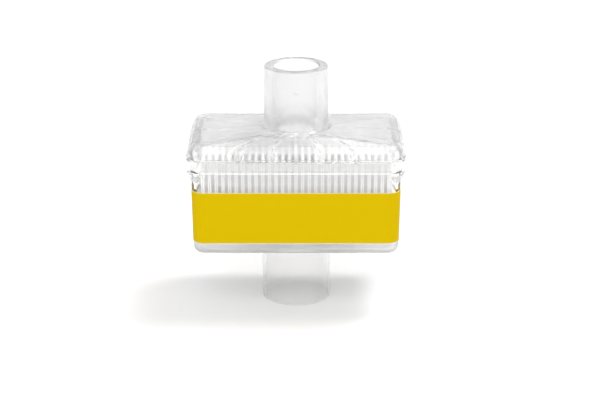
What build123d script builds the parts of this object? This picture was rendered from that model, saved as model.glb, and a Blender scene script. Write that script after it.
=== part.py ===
# Breathing circuit filter: a clear housing in two halves, welded round a pleated sheet of media.
# The lower port is a 22 mm socket. The upper port is a 22 mm cone with a 15 mm socket inside it.
# Sizes are in millimetres. The origin is the centre of the lower port's rim, which the filter
# stands on. +Z runs up the ports, and -Y is the front, where the label is read.

import os
from math import asin, atan, cos, degrees, floor, hypot, radians, sin, tan

from build123d import *

# Housing in plan, at the top of the drafted wall
body_width = 71.5
body_depth = 42.4
corner_radius = 4.7
wall = 1.6
draft_angle = 0.95
bottom_round = 2.6
cavity_bevel = 0.8

# Heights of the lower housing, from the lower port's rim up
lower_port_length = 22.6
wall_height = 25.6
flare_height = 3.6
flare_round = 2.2
band_height = 4.6

# Welded joint: a tongue under the upper housing stands in a groove in the flange
flange_reach = 1.5
groove_edge = 0.95
groove_width = 1.25
groove_depth = 4.1
tongue_side_gap = 0.05
tongue_end_gap = 0.7

# Upper housing, from the welded joint up
lip_reach = 0.3
lip_height = 1.3
lip_bevel = 0.3
cover_inset = 0.15
roof_height = 5.4
shoulder_round = 4.1
ceiling_bevel = 1.4
crown_rise = 1.4
port_root = 1.2
upper_port_length = 22.9

# Conical connectors, which narrow by 1 in 40 of their length
cone_taper = 1 / 40
male_tip_diameter = 22.0
small_socket_mouth = 15.47
small_socket_depth = 17.0
upper_passage_diameter = 13.2
large_socket_mouth = 22.42
large_socket_depth = 20.8
lower_passage_diameter = 20.4
lower_port_diameter = 24.1
mouth_chamfer = 0.5
rim_bevel = 0.35
thin_rim_bevel = 0.2
key_width = 1.75
key_length = 8.0
key_depth = 0.45

# Vanes under the roof and on the floor, which spread the gas and hold the pack
vane_count = 16
vane_thickness = 0.9
vane_depth = 1.2
foot_width = 3.4
foot_land = 0.9
floor_vane_height = 4.4
floor_vane_slope = 3.5
vane_root = 0.6

# Pleated media
pleat_pitch = 2.26
sheet_thickness = 0.4
fold_radius = 0.35
fold_creases = 4
pack_recess = 0.2
pack_corner_gap = 0.05

# Bead of adhesive round the pack, and the printed label round the wall
seal_height = 16.0
label_thickness = 0.12
label_rise = 4.3
label_height = 18.5
label_overlap = 9.0
overlap_place = 12.0

# Heights and slopes that follow from the sizes above
tray_z = lower_port_length
floor_z = tray_z + wall
neck_z = tray_z + wall_height
band_z = neck_z + flare_height
joint_z = band_z + band_height
roof_z = joint_z + roof_height
ceiling_z = roof_z - wall
rim_z = roof_z + upper_port_length
pack_bottom = floor_z + floor_vane_height
pack_top = joint_z - pack_recess
label_z = tray_z + label_rise
cone_slope = cone_taper / 2


# Rounded rectangle that runs all round the housing, grown or shrunk from the body's plan
def outline(grow, z):
    return Pos(0, 0, z) * RectangleRounded(
        body_width + 2 * grow, body_depth + 2 * grow, corner_radius + grow
    )


# How far the drafted wall lies inside the body's plan at a height
def draft_at(z):
    return (z - neck_z) * tan(radians(draft_angle))


# Solid between two heights whose sides follow the drafted wall at an offset from its outside
def drafted_block(grow, low, high):
    top = outline(draft_at(high) + grow, high)
    return extrude(top, amount=high - low, dir=(0, 0, -1), taper=draft_angle)


# Straight block on the housing's plan
def straight_block(grow, low, high):
    return extrude(outline(grow, low), amount=high - low)


# Rim between two offsets, used for the groove and the tongue
def ring(outer_grow, inner_grow, low, high):
    return straight_block(outer_grow, low, high) - straight_block(inner_grow, low, high)


def top_edges(solid):
    return solid.faces().sort_by(Axis.Z)[-1].edges()


def bottom_edges(solid):
    return solid.faces().sort_by(Axis.Z)[0].edges()


def edges_at(solid, z):
    return solid.edges().filter_by_position(Axis.Z, z, z)


# Body turned about the ports' axis, from points given as radius and height
def turned(*points):
    return revolve(Plane.XZ * make_face(Polyline(*points, close=True)), Axis.Z)


# Hollow corner between a wall and a level face, as two short cones in place of an arc
def hollow_corner(radius, height, reach, rise):
    bend = reach * (1 - cos(radians(45)))
    return (radius + reach, height), (radius + bend, height + rise * bend / reach), (radius, height + rise)


# Distance from the axis to the cavity's wall in one direction
def wall_reach(angle):
    across = abs(cos(radians(angle))) / (body_width / 2 - wall)
    along = abs(sin(radians(angle))) / (body_depth / 2 - wall)
    return 1 / max(across, along)


# Thin upright vane in one direction, from points given as radius and height
def vane(angle, *points):
    face = Plane.XZ * make_face(Polyline(*points, close=True))
    return Rot(0, 0, angle) * extrude(face, amount=vane_thickness / 2, both=True)


vane_angles = [360 / vane_count * step for step in range(vane_count)]


# Long prism with two slopes, one on each side of a flat top
def ridge(plane, half_base, half_top, low, half_length):
    top = low + crown_rise
    slopes = Polyline((-half_base, low), (half_base, low), (half_top, top), (-half_top, top), close=True)
    return extrude(plane * make_face(slopes), amount=half_length, both=True)


# Shallow hip of four slopes that rise from a level edge to the foot of the port
def crown(edge_grow, foot_radius, low):
    half_width = body_width / 2 + edge_grow
    half_depth = body_depth / 2 + edge_grow
    hip = ridge(Plane.XZ, half_width, foot_radius, low, half_depth)
    hip &= ridge(Plane.YZ, half_depth, foot_radius, low, half_width)
    return hip & straight_block(edge_grow, low, low + crown_rise)


# Room inside the lower housing, from its floor to the welded joint
def tray_cavity():
    room = straight_block(-wall, floor_z, joint_z)
    return chamfer(bottom_edges(room), cavity_bevel)


def floor_vane(angle):
    reach = wall_reach(angle)
    start = large_socket_mouth / 2
    return vane(
        angle,
        (start, floor_z - vane_root),
        (reach, floor_z - vane_root),
        (reach, pack_bottom),
        (start + floor_vane_slope, pack_bottom),
        (start, floor_z),
    )


def lower_housing():
    shell = drafted_block(0, tray_z, neck_z)
    shell = fillet(bottom_edges(shell), bottom_round)
    flare_angle = degrees(atan(flange_reach / flare_height))
    band_foot = outline(flange_reach, band_z)
    shell += extrude(band_foot, amount=flare_height, dir=(0, 0, -1), taper=flare_angle)
    band = straight_block(flange_reach, band_z, joint_z)
    shell += chamfer(top_edges(band), lip_bevel)
    shell = fillet(edges_at(shell, neck_z) + edges_at(shell, band_z), flare_round)
    shell -= tray_cavity()
    groove_outside = flange_reach - groove_edge
    shell -= ring(groove_outside, groove_outside - groove_width, joint_z - groove_depth, joint_z)

    port_radius = lower_port_diameter / 2
    port = turned(
        (0, 0),
        (port_radius - thin_rim_bevel, 0),
        (port_radius, thin_rim_bevel),
        *reversed(hollow_corner(port_radius, tray_z, port_root, -port_root)),
        (port_radius + port_root, floor_z),
        (0, floor_z),
    )
    vanes = floor_vane(0)
    for angle in vane_angles[1:]:
        vanes += floor_vane(angle)
    vanes &= drafted_block(-wall / 2, tray_z, pack_bottom)

    mouth = large_socket_mouth / 2
    bottom = mouth - large_socket_depth * cone_slope
    passage = lower_passage_diameter / 2
    bore = turned(
        (0, 0),
        (mouth + thin_rim_bevel, 0),
        (mouth, thin_rim_bevel),
        (bottom, large_socket_depth),
        (passage, large_socket_depth),
        (passage, pack_bottom),
        (0, pack_bottom),
    )
    return shell + vanes + port - bore


def roof_vane(angle):
    reach = wall_reach(angle)
    start = small_socket_mouth / 2
    edge = reach - foot_width
    return vane(
        angle,
        (start, ceiling_z + crown_rise + vane_root),
        (start, ceiling_z + crown_rise - vane_depth / 2),
        (edge, ceiling_z - vane_depth),
        (reach - foot_land, joint_z),
        (reach + vane_root, joint_z),
        (reach + vane_root, ceiling_z - vane_depth),
        (edge, ceiling_z + vane_root),
    )


# Keyway down the inside of the small socket, at the front and at the back
def keyway(angle):
    radius = small_socket_mouth / 2
    slot = Box(
        key_width, radius + key_depth, key_length, align=(Align.CENTER, Align.MIN, Align.MAX)
    )
    return Rot(0, 0, angle) * Pos(0, 0, rim_z) * slot


def upper_housing():
    lip = straight_block(flange_reach + lip_reach, joint_z, joint_z + lip_height)
    lip = chamfer(top_edges(lip) + bottom_edges(lip), lip_bevel)
    cover = straight_block(flange_reach - cover_inset, joint_z, roof_z)
    cover = fillet(top_edges(cover), shoulder_round)
    tip = male_tip_diameter / 2
    root = tip + (upper_port_length - crown_rise) * cone_slope
    foot = root + port_root
    shell = lip + cover + crown(flange_reach - cover_inset - shoulder_round, foot, roof_z)

    room = straight_block(-wall, joint_z, ceiling_z)
    room = chamfer(top_edges(room), ceiling_bevel)
    shell -= room + crown(-wall - ceiling_bevel, foot, ceiling_z)

    tongue_outside = flange_reach - groove_edge - tongue_side_gap
    tongue_inside = flange_reach - groove_edge - groove_width + tongue_side_gap
    tongue_low = joint_z - groove_depth + tongue_end_gap
    shell += ring(tongue_outside, tongue_inside, tongue_low, joint_z)
    vanes = roof_vane(0)
    for angle in vane_angles[1:]:
        vanes += roof_vane(angle)
    vanes &= straight_block(-wall / 2, joint_z, rim_z)

    crown_z = roof_z + crown_rise
    port = turned(
        (0, crown_z - wall),
        (foot, crown_z - wall),
        *hollow_corner(root, crown_z, port_root, port_root),
        (tip, rim_z - rim_bevel),
        (tip - rim_bevel, rim_z),
        (0, rim_z),
    )
    mouth = small_socket_mouth / 2
    bottom = mouth - small_socket_depth * cone_slope
    passage = upper_passage_diameter / 2
    shoulder_z = rim_z - small_socket_depth
    bore = turned(
        (0, ceiling_z - vane_depth),
        (passage + mouth_chamfer, ceiling_z - vane_depth),
        (passage + mouth_chamfer, ceiling_z + crown_rise),
        (passage, ceiling_z + crown_rise + mouth_chamfer),
        (passage, shoulder_z),
        (bottom, shoulder_z),
        (mouth, rim_z - mouth_chamfer),
        (mouth + mouth_chamfer, rim_z),
        (0, rim_z),
    )
    return shell + vanes + port - bore - keyway(0) - keyway(180)


# The sheet folds over round ridges and valleys, and its legs lean a little to meet both tangents
ridge_z = pack_top - sheet_thickness / 2 - fold_radius
valley_z = pack_bottom + sheet_thickness / 2 + fold_radius
fold_distance = hypot(pleat_pitch / 2, ridge_z - valley_z)
leg_lean = degrees(asin(pleat_pitch / 2 / fold_distance) - asin(2 * fold_radius / fold_distance))

# The pack stands clear of the wall, so that its square corners fit the cavity's round ones
pack_gap = (corner_radius - wall) * (1 - cos(radians(45))) + pack_corner_gap
pleat_count = floor((body_width - 2 * wall - 2 * pack_gap) / pleat_pitch)
pack_length = body_depth - 2 * wall - 2 * pack_gap


# One face of the sheet, from end to end, at an offset from its middle. Each fold turns at a few
# creases, with flats that touch its radius, and the two outer legs run down to the pack's foot.
def sheet_face(offset):
    turn = (180 - 2 * leg_lean) / fold_creases
    points = []
    for step in range(2 * pleat_count - 1):
        middle_x = (step - pleat_count + 1) * pleat_pitch / 2
        upward = 1 if step % 2 == 0 else -1
        middle_z = ridge_z if upward > 0 else valley_z
        reach = (fold_radius + upward * offset) / cos(radians(turn / 2))
        for crease in range(fold_creases):
            angle = radians(180 - leg_lean - turn * (crease + 0.5))
            points.append((middle_x + reach * cos(angle), middle_z + upward * reach * sin(angle)))
    end_x, end_z = points[-1]
    end_x += (end_z - pack_bottom) * tan(radians(leg_lean))
    return [(-end_x, pack_bottom), *points, (end_x, pack_bottom)]


def pleated_media():
    upper_face = sheet_face(sheet_thickness / 2)
    lower_face = sheet_face(-sheet_thickness / 2)
    section = make_face(Polyline(*upper_face, *reversed(lower_face), close=True))
    return extrude(Plane.XZ * section, amount=pack_length / 2, both=True)


# Thin bead that fills the space between the pack's four sides and the wall
def perimeter_seal():
    pack_width = 2 * sheet_face(sheet_thickness / 2)[-1][0]
    block = straight_block(-wall, pack_bottom, pack_bottom + seal_height)
    pack = Box(pack_width, pack_length, 2 * seal_height)
    return block - Pos(0, 0, pack_bottom) * pack


# Block inside one face of the label's film, ruled between its outlines at the film's two edges
def inside_film(grow):
    return loft([outline(draft_at(z) + grow, z) for z in (label_z, label_z + label_height)], ruled=True)


# Printed film, wrapped once round the wall with its end lapped over its start at the back
def label_band():
    lap = Pos(overlap_place, body_depth / 2, label_z + label_height / 2) * Box(
        label_overlap, body_depth / 2, label_height
    )
    film = inside_film(label_thickness) + (inside_film(2 * label_thickness) & lap)
    return film - inside_film(0)


os.makedirs("parts", exist_ok=True)
export_step(lower_housing(), "parts/lower_housing.step")
export_step(upper_housing(), "parts/upper_housing.step")
export_step(pleated_media(), "parts/pleated_media.step")
export_step(perimeter_seal(), "parts/perimeter_seal.step")
export_step(label_band(), "parts/label_band.step")
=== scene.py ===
import math
import bmesh
import bpy
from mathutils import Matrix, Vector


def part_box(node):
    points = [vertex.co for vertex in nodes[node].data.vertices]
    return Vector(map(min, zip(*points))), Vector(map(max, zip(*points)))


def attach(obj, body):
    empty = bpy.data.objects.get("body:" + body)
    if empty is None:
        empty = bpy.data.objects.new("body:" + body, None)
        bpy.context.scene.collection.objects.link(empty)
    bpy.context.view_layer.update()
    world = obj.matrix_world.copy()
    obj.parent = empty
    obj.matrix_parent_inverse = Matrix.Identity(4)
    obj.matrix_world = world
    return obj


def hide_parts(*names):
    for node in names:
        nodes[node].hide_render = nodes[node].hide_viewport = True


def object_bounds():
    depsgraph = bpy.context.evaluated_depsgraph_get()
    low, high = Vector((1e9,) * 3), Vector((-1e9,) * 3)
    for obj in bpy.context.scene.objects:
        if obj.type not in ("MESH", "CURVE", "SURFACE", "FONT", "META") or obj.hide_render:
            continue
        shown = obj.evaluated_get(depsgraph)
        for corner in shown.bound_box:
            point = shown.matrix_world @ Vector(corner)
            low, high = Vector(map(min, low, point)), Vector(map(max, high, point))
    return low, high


# Everything below is in metres
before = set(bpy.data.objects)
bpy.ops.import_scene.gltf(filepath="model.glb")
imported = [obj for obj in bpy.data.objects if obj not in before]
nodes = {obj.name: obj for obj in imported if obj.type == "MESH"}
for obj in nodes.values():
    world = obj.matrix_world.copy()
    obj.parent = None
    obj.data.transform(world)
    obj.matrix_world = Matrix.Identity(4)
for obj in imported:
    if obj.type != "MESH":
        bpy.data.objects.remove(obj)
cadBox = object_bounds()
labelLow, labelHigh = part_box("label_band")
packLow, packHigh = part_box("pleated_media")
print("frame loaded:", sorted(nodes))


# Small helpers for node trees
def newTree(name):
    material = bpy.data.materials.new(name)
    material.use_nodes = True
    material.node_tree.nodes.clear()
    return material, material.node_tree


def addNode(tree, kind, values=None, **settings):
    node = tree.nodes.new(kind)
    for key, value in settings.items():
        setattr(node, key, value)
    for key, value in (values or {}).items():
        node.inputs[key].default_value = value
    return node


def join(tree, source, output, target, entry):
    tree.links.new(source.outputs[output], target.inputs[entry])


def groupTree(name, entries, results):
    tree = bpy.data.node_groups.new(name, "ShaderNodeTree")
    for title, kind, value in entries:
        socket = tree.interface.new_socket(title, in_out="INPUT", socket_type=kind)
        if value is not None:
            socket.default_value = value
    for title, kind in results:
        tree.interface.new_socket(title, in_out="OUTPUT", socket_type=kind)
    return tree, tree.nodes.new("NodeGroupInput"), tree.nodes.new("NodeGroupOutput")


# Slow and fine unevenness that every surface here shares, as a height
def buildSurfaceGrain():
    entries = [
        ("Vector", "NodeSocketVector", None),
        ("Fine Scale", "NodeSocketFloat", 900.0),
        ("Broad Scale", "NodeSocketFloat", 60.0),
        ("Broad Share", "NodeSocketFloat", 0.5),
    ]
    tree, entry, result = groupTree("surfaceGrain", entries, [("Height", "NodeSocketFloat")])
    fine = addNode(tree, "ShaderNodeTexNoise", {"Detail": 3.0, "Roughness": 0.55})
    broad = addNode(tree, "ShaderNodeTexNoise", {"Detail": 2.0, "Roughness": 0.5})
    blend = addNode(tree, "ShaderNodeMix", data_type="FLOAT")
    join(tree, entry, "Vector", fine, "Vector")
    join(tree, entry, "Vector", broad, "Vector")
    join(tree, entry, "Fine Scale", fine, "Scale")
    join(tree, entry, "Broad Scale", broad, "Scale")
    join(tree, entry, "Broad Share", blend, "Factor")
    join(tree, fine, "Fac", blend, "A")
    join(tree, broad, "Fac", blend, "B")
    join(tree, blend, "Result", result, "Height")
    return tree


surfaceGrain = buildSurfaceGrain()


def addGrain(tree, shader, look):
    place = addNode(tree, "ShaderNodeTexCoord")
    turn = addNode(tree, "ShaderNodeMapping", {"Scale": look.get("stretch", (1.0, 1.0, 1.0))})
    grain = addNode(tree, "ShaderNodeGroup", node_tree=surfaceGrain)
    grain.inputs["Fine Scale"].default_value = look["grainScale"]
    grain.inputs["Broad Scale"].default_value = look["broadScale"]
    grain.inputs["Broad Share"].default_value = look["broadShare"]
    bump = addNode(tree, "ShaderNodeBump", {"Strength": look["bump"], "Distance": look["bumpDistance"]})
    join(tree, place, "Object", turn, "Vector")
    join(tree, turn, "Vector", grain, "Vector")
    join(tree, grain, "Height", bump, "Height")
    join(tree, bump, "Normal", shader, "Normal")
    return place, grain


# Number or colour that goes from the first to the second where the mask is 1
def mixBy(tree, kind, mask, output, first, second):
    mixed = addNode(tree, "ShaderNodeMix", {"B": second}, data_type=kind)
    if isinstance(first, bpy.types.Node):
        join(tree, first, "Result", mixed, "A")
    else:
        mixed.inputs["A"].default_value = first
    join(tree, mask, output, mixed, "Factor")
    return mixed


def wear(node, material):
    node.data.materials.clear()
    node.data.materials.append(material)


# Mask that goes from 0 to 1 between two heights
def buildHeightMask():
    entries = [
        ("Vector", "NodeSocketVector", None),
        ("Low", "NodeSocketFloat", 0.0),
        ("High", "NodeSocketFloat", 1.0),
    ]
    tree, entry, result = groupTree("heightMask", entries, [("Mask", "NodeSocketFloat")])
    split = addNode(tree, "ShaderNodeSeparateXYZ")
    rise = addNode(tree, "ShaderNodeMapRange", interpolation_type="SMOOTHSTEP")
    join(tree, entry, "Vector", split, "Vector")
    join(tree, split, "Z", rise, "Value")
    join(tree, entry, "Low", rise, "From Min")
    join(tree, entry, "High", rise, "From Max")
    join(tree, rise, "Result", result, "Mask")
    return tree


# Mask of thin straight lines that run out from the middle at even angles
def buildRayLines():
    entries = [
        ("Vector", "NodeSocketVector", None),
        ("Step", "NodeSocketFloat", 1.0),
        ("Core", "NodeSocketFloat", 0.0003),
        ("Edge", "NodeSocketFloat", 0.0006),
    ]
    tree, entry, result = groupTree("rayLines", entries, [("Mask", "NodeSocketFloat")])
    split = addNode(tree, "ShaderNodeSeparateXYZ")
    turn = addNode(tree, "ShaderNodeMath", operation="ARCTAN2")
    snapped = addNode(tree, "ShaderNodeMath", operation="SNAP")
    halfStep = addNode(tree, "ShaderNodeMath", {1: 0.5}, operation="MULTIPLY")
    ahead = addNode(tree, "ShaderNodeMath", operation="ADD")
    apart = addNode(tree, "ShaderNodeMath", operation="SUBTRACT")
    sine = addNode(tree, "ShaderNodeMath", operation="SINE")
    flat = addNode(tree, "ShaderNodeCombineXYZ")
    radius = addNode(tree, "ShaderNodeVectorMath", operation="LENGTH")
    offset = addNode(tree, "ShaderNodeMath", operation="MULTIPLY")
    size = addNode(tree, "ShaderNodeMath", operation="ABSOLUTE")
    fade = addNode(tree, "ShaderNodeMapRange", {
        "To Min": 1.0,
        "To Max": 0.0,
    }, interpolation_type="SMOOTHSTEP")
    join(tree, entry, "Vector", split, "Vector")
    join(tree, split, "Y", turn, 0)
    join(tree, split, "X", turn, 1)
    join(tree, entry, "Step", halfStep, 0)
    join(tree, turn, "Value", ahead, 0)
    join(tree, halfStep, "Value", ahead, 1)
    join(tree, ahead, "Value", snapped, 0)
    join(tree, entry, "Step", snapped, 1)
    join(tree, turn, "Value", apart, 0)
    join(tree, snapped, "Value", apart, 1)
    join(tree, apart, "Value", sine, 0)
    join(tree, split, "X", flat, "X")
    join(tree, split, "Y", flat, "Y")
    join(tree, flat, "Vector", radius, 0)
    join(tree, sine, "Value", offset, 0)
    join(tree, radius, "Value", offset, 1)
    join(tree, offset, "Value", size, 0)
    join(tree, size, "Value", fade, "Value")
    join(tree, entry, "Core", fade, "From Min")
    join(tree, entry, "Edge", fade, "From Max")
    join(tree, fade, "Result", result, "Mask")
    return tree


heightMask = buildHeightMask()
rayLines = buildRayLines()


# Lamps shine on through thin clear walls, where a plain refracting wall would stop them
def letLampsThrough(tree, shader, out, share):
    path = addNode(tree, "ShaderNodeLightPath")
    portion = addNode(tree, "ShaderNodeMath", operation="MULTIPLY")
    clear = addNode(tree, "ShaderNodeBsdfTransparent")
    mixed = addNode(tree, "ShaderNodeMixShader")
    join(tree, path, "Is Shadow Ray", portion, 0)
    join(tree, share, "Result", portion, 1)
    join(tree, portion, "Value", mixed, "Fac")
    tree.links.new(shader.outputs["BSDF"], mixed.inputs[1])
    tree.links.new(clear.outputs["BSDF"], mixed.inputs[2])
    join(tree, mixed, "Shader", out, "Surface")


def placeHeight(tree, place, low, high):
    mask = addNode(tree, "ShaderNodeGroup", node_tree=heightMask)
    mask.inputs["Low"].default_value = low
    mask.inputs["High"].default_value = high
    join(tree, place, "Object", mask, "Vector")
    return mask


# Clear moulded plastic of the upper housing: hazy roof with painted highlight lines over the vanes,
# frosted port
upperPlastic = {
    "wallColor": (1.0, 1.0, 1.0, 1.0),
    "roofColor": (0.92, 0.92, 0.925, 1.0),
    "vaneHighlightColor": (1.0, 1.0, 1.0, 1.0),
    "ior": 1.53,
    "transmission": 0.95,
    "wallLampShare": 1.0,
    "roofLampShare": 0.68,
    "portLampShare": 0.25,
    "clearRoughness": 0.04,
    "roofRoughness": 0.24,
    "vaneRoughness": 0.45,
    "portRoughness": 0.26,
    "roofFrom": (0.0572, 0.0585),
    "portFrom": (0.0655, 0.0735),
    "linesUpTo": (0.0612, 0.0622),
    "vanes": 16,
    "vaneHighlightLine": (0.0004, 0.0007),
    "grainScale": 700.0,
    "broadScale": 45.0,
    "broadShare": 0.7,
    "bump": 0.06,
    "bumpDistance": 0.00004,
}


def buildUpperPlastic():
    look = upperPlastic
    material, tree = newTree("hazyClearPlastic")
    out = addNode(tree, "ShaderNodeOutputMaterial")
    shader = addNode(tree, "ShaderNodeBsdfPrincipled", {
        "IOR": look["ior"],
        "Transmission Weight": look["transmission"],
    })
    place = addGrain(tree, shader, look)[0]
    roof = placeHeight(tree, place, *look["roofFrom"])
    port = placeHeight(tree, place, *look["portFrom"])
    haze = mixBy(tree, "FLOAT", roof, "Mask", look["clearRoughness"], look["roofRoughness"])
    frost = mixBy(tree, "FLOAT", port, "Mask", haze, look["portRoughness"])
    lines = addNode(tree, "ShaderNodeGroup", node_tree=rayLines)
    lines.inputs["Step"].default_value = 2 * math.pi / look["vanes"]
    lines.inputs["Core"].default_value = look["vaneHighlightLine"][0]
    lines.inputs["Edge"].default_value = look["vaneHighlightLine"][1]
    join(tree, place, "Object", lines, "Vector")
    fromEaves = addNode(tree, "ShaderNodeMath", operation="MULTIPLY")
    join(tree, lines, "Mask", fromEaves, 0)
    join(tree, roof, "Mask", fromEaves, 1)
    crown = placeHeight(tree, place, *look["linesUpTo"])
    belowCrown = addNode(tree, "ShaderNodeMath", {0: 1.0}, operation="SUBTRACT")
    join(tree, crown, "Mask", belowCrown, 1)
    # Where the painted highlight lines lie: along the vanes, on the roof below the crown; they are also
    # rougher there
    vaneHighlight = addNode(tree, "ShaderNodeMath", operation="MULTIPLY")
    join(tree, fromEaves, "Value", vaneHighlight, 0)
    join(tree, belowCrown, "Value", vaneHighlight, 1)
    soft = mixBy(tree, "FLOAT", vaneHighlight, "Value", frost, look["vaneRoughness"])
    join(tree, soft, "Result", shader, "Roughness")
    hazy = mixBy(tree, "RGBA", roof, "Mask", look["wallColor"], look["roofColor"])
    # Painted highlight: the roof's base colour goes white along the vanes
    tone = mixBy(tree, "RGBA", vaneHighlight, "Value", hazy, look["vaneHighlightColor"])
    join(tree, tone, "Result", shader, "Base Color")
    belowPortShare = mixBy(tree, "FLOAT", roof, "Mask", look["wallLampShare"], look["roofLampShare"])
    share = mixBy(tree, "FLOAT", port, "Mask", belowPortShare, look["portLampShare"])
    letLampsThrough(tree, shader, out, share)
    return material


# The same plastic in the lower housing: clear at the wall and the port, frosted at the tray's foot
lowerPlastic = {
    "color": (0.985, 0.985, 0.985, 1.0),
    "portColor": (0.93, 0.93, 0.93, 1.0),
    "ior": 1.4,
    "transmission": 1.0,
    "wallLampShare": 0.9,
    "frostLampShare": 0.85,
    "clearRoughness": 0.05,
    "frostRoughness": 0.6,
    "portRoughness": 0.15,
    "frostFrom": (0.0218, 0.0224),
    "clearFrom": (0.0266, 0.0272),
    "grainScale": 700.0,
    "broadScale": 45.0,
    "broadShare": 0.7,
    "bump": 0.06,
    "bumpDistance": 0.00004,
}


def buildLowerPlastic():
    look = lowerPlastic
    material, tree = newTree("clearPlastic")
    out = addNode(tree, "ShaderNodeOutputMaterial")
    shader = addNode(tree, "ShaderNodeBsdfPrincipled", {
        "IOR": look["ior"],
        "Transmission Weight": look["transmission"],
    })
    place = addGrain(tree, shader, look)[0]
    tray = placeHeight(tree, place, *look["frostFrom"])
    wall = placeHeight(tree, place, *look["clearFrom"])
    frost = mixBy(tree, "FLOAT", tray, "Mask", look["portRoughness"], look["frostRoughness"])
    clear = mixBy(tree, "FLOAT", wall, "Mask", frost, look["clearRoughness"])
    join(tree, clear, "Result", shader, "Roughness")
    tone = mixBy(tree, "RGBA", tray, "Mask", look["portColor"], look["color"])
    join(tree, tone, "Result", shader, "Base Color")
    share = mixBy(tree, "FLOAT", wall, "Mask", look["frostLampShare"], look["wallLampShare"])
    letLampsThrough(tree, shader, out, share)
    return material


print("clear plastic")
wear(nodes["upper_housing"], buildUpperPlastic())
wear(nodes["lower_housing"], buildLowerPlastic())


# White filter paper with a fine fibre
filterPaper = {
    "color": (0.99, 0.99, 0.985, 1.0),
    "shade": (0.96, 0.96, 0.96, 1.0),
    "roughness": 0.9,
    "specular": 0.2,
    "grainScale": 2600.0,
    "broadScale": 300.0,
    "broadShare": 0.35,
    "stretch": (1.0, 0.25, 1.0),
    "bump": 0.3,
    "bumpDistance": 0.00004,
}


def buildFilterPaper():
    look = filterPaper
    material, tree = newTree("filterPaper")
    out = addNode(tree, "ShaderNodeOutputMaterial")
    shader = addNode(tree, "ShaderNodeBsdfPrincipled", {
        "Roughness": look["roughness"],
        "Specular IOR Level": look["specular"],
    })
    grain = addGrain(tree, shader, look)[1]
    tone = mixBy(tree, "RGBA", grain, "Height", look["shade"], look["color"])
    join(tree, tone, "Result", shader, "Base Color")
    join(tree, shader, "BSDF", out, "Surface")
    return material


# The folded sheet: close pairs of legs under round ridges, with wider valleys between them
pleats = {
    "pitch": 0.00226,
    "sheet": 0.0005,
    "ridgeWidth": 0.00113,
    "foldSteps": 8,
    "legCuts": 5,
    "lengthCuts": 9,
    "waver": 0.00014,
    "waverSize": 0.006,
}
tiny = 0.00001
smoothAngle = math.radians(40)


def pick(test):
    mesh = bmesh.from_edit_mesh(bpy.context.object.data)
    for part in (mesh.faces, mesh.edges):
        for one in part:
            one.select = False
    for vertex in mesh.verts:
        vertex.select = test(vertex.co)
    mesh.select_flush_mode()
    bmesh.update_edit_mesh(bpy.context.object.data)


def addModifier(thing, kind, **settings):
    modifier = thing.modifiers.new(kind.lower(), kind)
    for key, value in settings.items():
        setattr(modifier, key, value)
    return modifier


def applyAll(thing):
    for modifier in list(thing.modifiers):
        bpy.ops.object.modifier_apply(modifier=modifier.name)


def makePleats():
    look = pleats
    ridge = (look["ridgeWidth"] - look["sheet"]) / 2
    valley = look["pitch"] / 2 - ridge
    ridgeZ = packHigh.z - ridge - look["sheet"] / 2
    valleyZ = packLow.z + valley + look["sheet"] / 2
    legHeight = ridgeZ - valleyZ
    length = packHigh.y - packLow.y
    count = round((packHigh.x - packLow.x - look["ridgeWidth"]) / look["pitch"]) + 1
    firstX = -(count - 1) * look["pitch"] / 2 - ridge
    lastX = -firstX
    bpy.ops.object.select_all(action="DESELECT")
    bpy.ops.mesh.primitive_grid_add(
        x_subdivisions=look["legCuts"],
        y_subdivisions=look["lengthCuts"],
        size=1,
        location=(firstX, 0, (ridgeZ + valleyZ) / 2),
        rotation=(0, math.pi / 2, 0),
    )
    sheet = bpy.context.object
    sheet.name = "folded_media"
    sheet.scale = (legHeight, length, 1)
    bpy.ops.object.transform_apply(location=True, rotation=True, scale=True)
    bpy.ops.object.mode_set(mode="EDIT")
    pick(lambda place: place.z > ridgeZ - tiny)
    bpy.ops.mesh.spin(
        steps=look["foldSteps"], angle=-math.pi, center=(firstX + ridge, 0, ridgeZ), axis=(0, 1, 0)
    )
    bpy.ops.mesh.extrude_repeat(steps=look["legCuts"], offset=(0, 0, -legHeight / look["legCuts"]))
    bpy.ops.mesh.spin(
        steps=look["foldSteps"],
        angle=math.pi,
        center=(firstX + 2 * ridge + valley, 0, valleyZ),
        axis=(0, 1, 0),
    )
    bpy.ops.object.mode_set(mode="OBJECT")
    addModifier(
        sheet,
        "ARRAY",
        count=count,
        use_relative_offset=False,
        use_constant_offset=True,
        constant_offset_displace=(look["pitch"], 0, 0),
        use_merge_vertices=True,
        merge_threshold=tiny,
    )
    applyAll(sheet)
    bpy.ops.object.mode_set(mode="EDIT")
    pick(lambda place: place.x > lastX + tiny)
    bpy.ops.mesh.delete(type="VERT")
    pick(lambda place: abs(place.z - valleyZ) < tiny and abs(place.x) > lastX - tiny)
    bpy.ops.mesh.extrude_region_move(TRANSFORM_OT_translate={"value": (0, 0, packLow.z - valleyZ)})
    bpy.ops.object.mode_set(mode="OBJECT")
    ripple = bpy.data.textures.new("ripple", "CLOUDS")
    ripple.noise_scale = look["waverSize"]
    addModifier(
        sheet, "DISPLACE", texture=ripple, strength=look["waver"], direction="X", texture_coords="LOCAL"
    )
    addModifier(sheet, "SOLIDIFY", thickness=look["sheet"], offset=0, use_even_offset=True)
    applyAll(sheet)
    bpy.ops.object.shade_smooth_by_angle(angle=smoothAngle)
    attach(sheet, "root")
    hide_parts("pleated_media")
    return sheet


print("filter paper")
foldedSheet = makePleats()
wear(foldedSheet, buildFilterPaper())


# Set adhesive, milky and a little uneven
adhesive = {
    "color": (0.72, 0.72, 0.72, 1.0),
    "roughness": 0.45,
    "grainScale": 500.0,
    "broadScale": 90.0,
    "broadShare": 0.8,
    "bump": 0.25,
    "bumpDistance": 0.0002,
}


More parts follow.
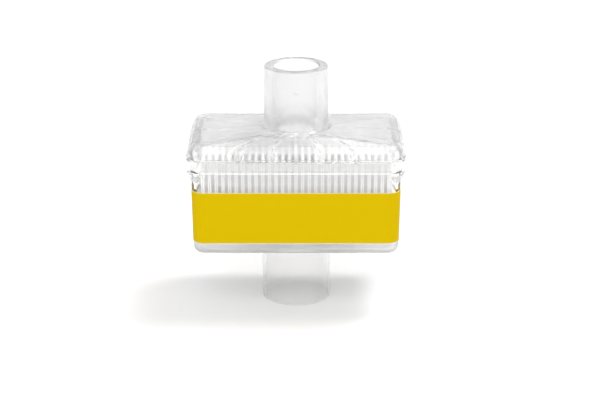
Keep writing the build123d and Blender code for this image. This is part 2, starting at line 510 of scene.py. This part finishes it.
def buildAdhesive():
    look = adhesive
    material, tree = newTree("setAdhesive")
    out = addNode(tree, "ShaderNodeOutputMaterial")
    shader = addNode(tree, "ShaderNodeBsdfPrincipled", {
        "Base Color": look["color"],
        "Roughness": look["roughness"],
    })
    addGrain(tree, shader, look)
    join(tree, shader, "BSDF", out, "Surface")
    return material


# Adhesive drawn in between the legs at the pack's front and back, which closes the ends of the folds
endSeal = {
    "inset": 0.0022,
    "depth": 0.0016,
    "belowRidges": 0.0016,
    "round": 0.0004,
    "roundSteps": 3,
    "waver": 0.0003,
    "waverSize": 0.002,
    "cuts": 60,
}


def makeEndSeal():
    look = endSeal
    high = packHigh.z - look["belowRidges"]
    bpy.ops.object.select_all(action="DESELECT")
    bpy.ops.mesh.primitive_cube_add(
        size=1,
        location=(0, packLow.y + look["inset"] + look["depth"] / 2, (packLow.z + high) / 2),
    )
    bar = bpy.context.object
    bar.name = "pleat_end_seal"
    bar.scale = (packHigh.x - packLow.x, look["depth"], high - packLow.z)
    bpy.ops.object.transform_apply(location=True, rotation=True, scale=True)
    addModifier(bar, "BEVEL", width=look["round"], segments=look["roundSteps"])
    applyAll(bar)
    bpy.ops.object.mode_set(mode="EDIT")
    for step in range(look["cuts"]):
        bpy.ops.mesh.select_all(action="SELECT")
        across = packLow.x + (packHigh.x - packLow.x) * (step + 0.5) / look["cuts"]
        bpy.ops.mesh.bisect(plane_co=(across, 0, 0), plane_no=(1, 0, 0))
    bpy.ops.object.mode_set(mode="OBJECT")
    ripple = bpy.data.textures.new("sealRipple", "CLOUDS")
    ripple.noise_scale = look["waverSize"]
    addModifier(bar, "DISPLACE", texture=ripple, strength=look["waver"], texture_coords="LOCAL")
    addModifier(bar, "MIRROR", use_axis=(False, True, False), use_mirror_merge=False)
    applyAll(bar)
    bpy.ops.object.shade_smooth_by_angle(angle=smoothAngle)
    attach(bar, "root")
    return bar


print("adhesive")
setAdhesive = buildAdhesive()
wear(nodes["perimeter_seal"], setAdhesive)
wear(makeEndSeal(), setAdhesive)


# Yellow printed film, bare of print, with a painted highlight along its top and bottom edges
labelFilm = {
    "color": (0.665, 0.461, 0.001, 1.0),
    "edge": (0.86, 0.80, 0.55, 1.0),
    "roughness": 0.5,
    "specular": 0.02,
    "edgeWidth": 0.0003,
    "grainScale": 1500.0,
    "broadScale": 120.0,
    "broadShare": 0.5,
    "bump": 0.05,
    "bumpDistance": 0.00005,
}


def buildLabelFilm():
    look = labelFilm
    material, tree = newTree("labelFilm")
    out = addNode(tree, "ShaderNodeOutputMaterial")
    shader = addNode(tree, "ShaderNodeBsdfPrincipled", {
        "Roughness": look["roughness"],
        "Specular IOR Level": look["specular"],
    })
    place = addGrain(tree, shader, look)[0]
    split = addNode(tree, "ShaderNodeSeparateXYZ")
    middle = (labelLow.z + labelHigh.z) / 2
    half = (labelHigh.z - labelLow.z) / 2
    away = addNode(tree, "ShaderNodeMath", {1: middle}, operation="SUBTRACT")
    height = addNode(tree, "ShaderNodeMath", operation="ABSOLUTE")
    edge = addNode(tree, "ShaderNodeMapRange", {
        "From Min": half - look["edgeWidth"],
        "From Max": half,
        "To Min": 0.0,
        "To Max": 1.0,
    }, interpolation_type="SMOOTHSTEP")
    join(tree, place, "Object", split, "Vector")
    join(tree, split, "Z", away, 0)
    join(tree, away, "Value", height, 0)
    join(tree, height, "Value", edge, "Value")
    # Painted highlight: a pale band along the film's top and bottom edges
    tone = mixBy(tree, "RGBA", edge, "Result", look["color"], look["edge"])
    join(tree, tone, "Result", shader, "Base Color")
    join(tree, shader, "BSDF", out, "Surface")
    return material


print("label film")
wear(nodes["label_band"], buildLabelFilm())


# Pale floor that keeps the shadow, and goes white beyond it
floor = {
    "size": 8.0,
    "color": (0.76, 0.76, 0.76, 1.0),
    "roughness": 0.9,
    "specular": 0.1,
    "nearGlow": 0.13,
    "farGlow": 0.95,
    "glowFrom": (0.22, 0.9),
}


def seenDirectly(tree):
    path = addNode(tree, "ShaderNodeLightPath")
    first = addNode(tree, "ShaderNodeMath", operation="MAXIMUM")
    both = addNode(tree, "ShaderNodeMath", operation="MAXIMUM")
    join(tree, path, "Is Camera Ray", first, 0)
    join(tree, path, "Is Glossy Ray", first, 1)
    join(tree, first, "Value", both, 0)
    join(tree, path, "Is Transmission Ray", both, 1)
    return both


def makeFloor():
    bpy.ops.object.select_all(action="DESELECT")
    bpy.ops.mesh.primitive_plane_add(size=floor["size"], location=(0, 0, 0))
    plane = bpy.context.object
    plane.name = "floor"
    material, tree = newTree("paleFloor")
    out = addNode(tree, "ShaderNodeOutputMaterial")
    shader = addNode(tree, "ShaderNodeBsdfPrincipled", {
        "Base Color": floor["color"],
        "Roughness": floor["roughness"],
        "Specular IOR Level": floor["specular"],
        "Emission Color": (1.0, 1.0, 1.0, 1.0),
    })
    seen = seenDirectly(tree)
    place = addNode(tree, "ShaderNodeTexCoord")
    away = addNode(tree, "ShaderNodeVectorMath", operation="LENGTH")
    rise = addNode(tree, "ShaderNodeMapRange", {
        "From Min": floor["glowFrom"][0],
        "From Max": floor["glowFrom"][1],
        "To Min": floor["nearGlow"],
        "To Max": floor["farGlow"],
    }, interpolation_type="SMOOTHSTEP")
    glow = addNode(tree, "ShaderNodeMath", operation="MULTIPLY")
    join(tree, place, "Object", away, 0)
    join(tree, away, "Value", rise, "Value")
    join(tree, seen, "Value", glow, 0)
    join(tree, rise, "Result", glow, 1)
    join(tree, glow, "Value", shader, "Emission Strength")
    join(tree, shader, "BSDF", out, "Surface")
    plane.data.materials.append(material)


makeFloor()

# White room, a little greyer towards the horizon
room = {"top": 1.0, "horizon": 0.92, "riseFrom": (-0.05, 0.7)}


def makeRoom():
    world = bpy.data.worlds.new("room")
    bpy.context.scene.world = world
    world.use_nodes = True
    tree = world.node_tree
    tree.nodes.clear()
    out = addNode(tree, "ShaderNodeOutputWorld")
    sky = addNode(tree, "ShaderNodeBackground")
    white = addNode(tree, "ShaderNodeBackground", {"Color": (1, 1, 1, 1), "Strength": 1.0})
    mixed = addNode(tree, "ShaderNodeMixShader")
    path = addNode(tree, "ShaderNodeLightPath")
    place = addNode(tree, "ShaderNodeTexCoord")
    split = addNode(tree, "ShaderNodeSeparateXYZ")
    rise = addNode(tree, "ShaderNodeMapRange", {
        "From Min": room["riseFrom"][0],
        "From Max": room["riseFrom"][1],
        "To Min": room["horizon"],
        "To Max": room["top"],
    }, interpolation_type="SMOOTHSTEP")
    join(tree, place, "Generated", split, "Vector")
    join(tree, split, "Z", rise, "Value")
    join(tree, rise, "Result", sky, "Strength")
    join(tree, path, "Is Camera Ray", mixed, "Fac")
    join(tree, sky, "Background", mixed, 1)
    join(tree, white, "Background", mixed, 2)
    join(tree, mixed, "Shader", out, "Surface")


makeRoom()


# Lamps: a large one high on the right for the shadow, and a wide one high in front
lamps = {
    "key": {"place": (0.42, 0.2, 1.05), "size": 0.42, "power": 6.5},
    "fill": {"place": (-0.1, -0.95, 1.0), "size": 0.9, "power": 6.4},
}


def aim(thing, target):
    bpy.context.view_layer.update()
    away = thing.location - target
    thing.rotation_euler = away.to_track_quat("Z", "Y").to_euler()


def makeLamps():
    target = (cadBox[0] + cadBox[1]) / 2
    for name, lamp in lamps.items():
        data = bpy.data.lights.new(name, "AREA")
        data.shape = "DISK"
        data.size = lamp["size"]
        data.energy = lamp["power"]
        thing = bpy.data.objects.new(name, data)
        bpy.context.scene.collection.objects.link(thing)
        thing.location = lamp["place"]
        aim(thing, target)


makeLamps()

# Camera, level side to side and looking down at the filter
camera = {
    "place": (0.001364, -0.5575, 0.2344),
    "down": 19.65,
    "lens": 100.57,
    "sensor": 36.0,
    "nearest": 0.01,
}


def makeCamera():
    data = bpy.data.cameras.new("camera")
    data.sensor_width = camera["sensor"]
    data.lens = camera["lens"]
    data.clip_start = camera["nearest"]
    thing = bpy.data.objects.new("camera", data)
    thing.location = camera["place"]
    thing.rotation_euler = (math.radians(90 - camera["down"]), 0, 0)
    bpy.context.scene.collection.objects.link(thing)
    bpy.context.scene.camera = thing


makeCamera()
scene = bpy.context.scene
scene.view_settings.view_transform = "Standard"

# Light goes many times through clear walls and between white folds before it is spent
scene.cycles.max_bounces = 256
scene.cycles.transmission_bounces = 128
scene.cycles.glossy_bounces = 128
scene.cycles.diffuse_bounces = 96
print("camera, lamps and floor placed")
